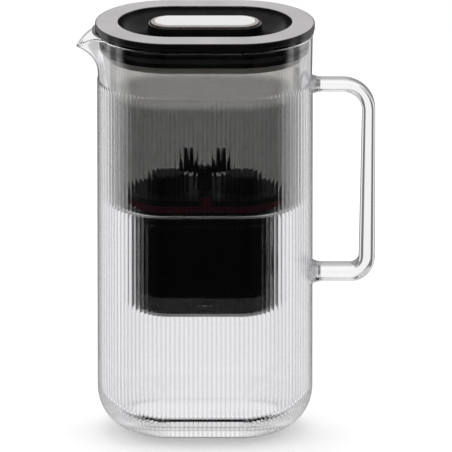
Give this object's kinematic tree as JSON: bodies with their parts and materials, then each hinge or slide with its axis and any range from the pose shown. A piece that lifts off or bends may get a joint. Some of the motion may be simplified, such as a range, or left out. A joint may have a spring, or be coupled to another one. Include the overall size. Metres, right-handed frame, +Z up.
{
  "type": "water filter pitcher",
  "caption": "Oval ribbed-glass water filter pitcher with pouring lip and welded glass handle, lift-out smoked funnel, filter cartridge and a lid with a press-to-reset indicator.",
  "frame": {"origin": "on the table under the middle of the jug's oval base", "axes": "+Z up, +X towards the handle, -X towards the pouring lip; the picture looks along +Y"},
  "size_m": [0.1938, 0.0974, 0.2778],
  "materials": {
    "clear_glass": "clear polished borosilicate, ribbed on the outside",
    "smoked_plastic": "smoked transparent moulding",
    "black_plastic": "fine satin moulding",
    "dark_silicone": "soft matt silicone",
    "cartridge_plastic": "moulded, fine grain",
    "burgundy_silicone": "soft matt silicone",
    "screen_felt": "fine non-woven",
    "media_grains": "packed carbon and resin grains",
    "satin_ring": "finely brushed, satin",
    "white_cap": "white translucent moulding, satin",
    "bezel_metal": "dark satin metal",
    "tub_plastic": "moulded",
    "screw_steel": "bright steel",
    "board_laminate": "lacquered board",
    "contact_metal": "plated spring strip",
    "switch_plastic": "moulded",
    "lamp_plastic": "clear lamp body"
  },
  "bodies": {
    "jug": {"glass_body": "clear_glass", "glass_handle": "clear_glass"},
    "funnel": {"hopper": "smoked_plastic", "hopper_collar": "black_plastic", "collar_gasket": "dark_silicone"},
    "cartridge": {"cartridge_cup": "cartridge_plastic", "cartridge_cap": "cartridge_plastic", "cartridge_seal": "burgundy_silicone", "inlet_screen": "screen_felt", "filter_media": "media_grains", "outlet_screen": "screen_felt"},
    "lid": {"lid_shell": "black_plastic", "lid_ring": "satin_ring", "lid_plug": "black_plastic", "lid_gasket": "dark_silicone"},
    "indicator": {"indicator_bezel": "bezel_metal", "indicator_tub": "tub_plastic", "tub_cover": "tub_plastic", "tub_seal": "dark_silicone", "cover_screws": "screw_steel", "circuit_board": "board_laminate", "coin_cell": "screw_steel", "cell_contacts": "contact_metal", "reset_switch": "switch_plastic", "status_leds": "lamp_plastic"},
    "press_cap": {"indicator_cap": "white_cap"}
  },
  "joints": [
    {"name": "funnel_lift", "type": "slide", "parent": "jug", "child": "funnel", "axis": [0, 0, 1], "range_m": [0, 0.2]},
    {"name": "cartridge_lift", "type": "slide", "parent": "funnel", "child": "cartridge", "axis": [0, 0, 1], "range_m": [0, 0.185]},
    {"name": "lid_lift", "type": "slide", "parent": "cartridge", "child": "lid", "axis": [0, 0, 1], "range_m": [0, 0.06]},
    {"name": "indicator_lift", "type": "slide", "parent": "lid", "child": "indicator", "axis": [0, 0, 1], "range_m": [0, 0.025]},
    {"name": "indicator_press", "type": "slide", "parent": "indicator", "child": "press_cap", "axis": [0, 0, -1], "range_m": [0, 0.0008], "stiffness_N_per_m": 1500, "springref_m": -0.0005}
  ]
}
